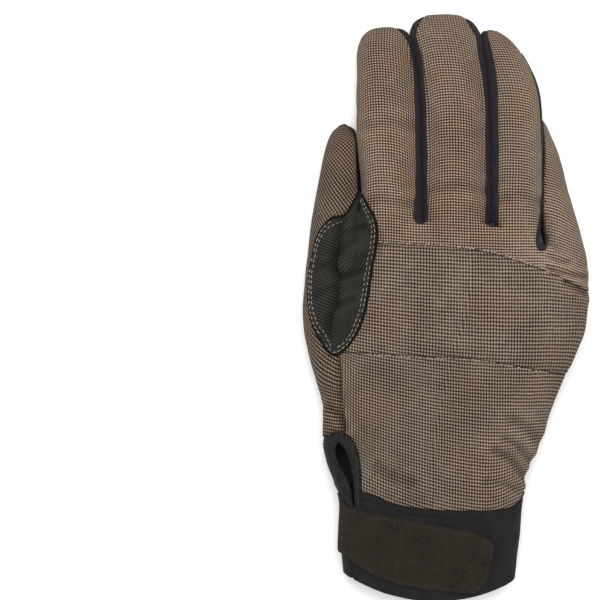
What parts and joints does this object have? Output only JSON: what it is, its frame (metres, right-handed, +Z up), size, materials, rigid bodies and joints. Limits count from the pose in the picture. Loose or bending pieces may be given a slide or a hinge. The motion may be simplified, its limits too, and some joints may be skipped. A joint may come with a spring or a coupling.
{
  "type": "mechanic glove",
  "caption": "Right-hand work glove with woven back, padded knuckle panel, suede palm, grip patches, side strips and a strapped elastic cuff.",
  "frame": {"origin": "on the table, under the middle of the glove", "axes": "+Y along the hand to the fingertips, +X to the little finger side, +Z up from the table through the back of the hand"},
  "size_m": [0.1265, 0.2584, 0.0346],
  "materials": {
    "woven_taupe": "taupe basket-woven cloth with fine ribs, matt",
    "stretch_black": "black stretch cloth, matt",
    "suede_black": "brown-black synthetic suede, short nap",
    "grip_rib": "charcoal coated cloth with fine diagonal ribs, faint sheen",
    "web_rib": "dark green-grey ribbed cloth, slight sheen",
    "bound_edge": "black folded binding, smooth",
    "cuff_knit": "black elastic knit, matt",
    "strap_pile": "dark olive-brown loop pile, matt"
  },
  "bodies": {
    "root": {"finger_back_panel": "woven_taupe", "knuckle_panel": "woven_taupe", "hand_back_panel": "woven_taupe", "thumb_back_panel": "woven_taupe", "fourchette_index_middle": "stretch_black", "fourchette_middle_ring": "stretch_black", "fourchette_ring_little": "stretch_black", "palm_panel": "suede_black", "upper_palm_patch": "grip_rib", "lower_palm_patch": "grip_rib", "index_tip_patch": "grip_rib", "thumb_tip_patch": "grip_rib", "thumb_web_patch": "web_rib", "vent_binding": "bound_edge", "cuff_band": "cuff_knit", "wrist_strap": "strap_pile"}
  },
  "joints": []
}
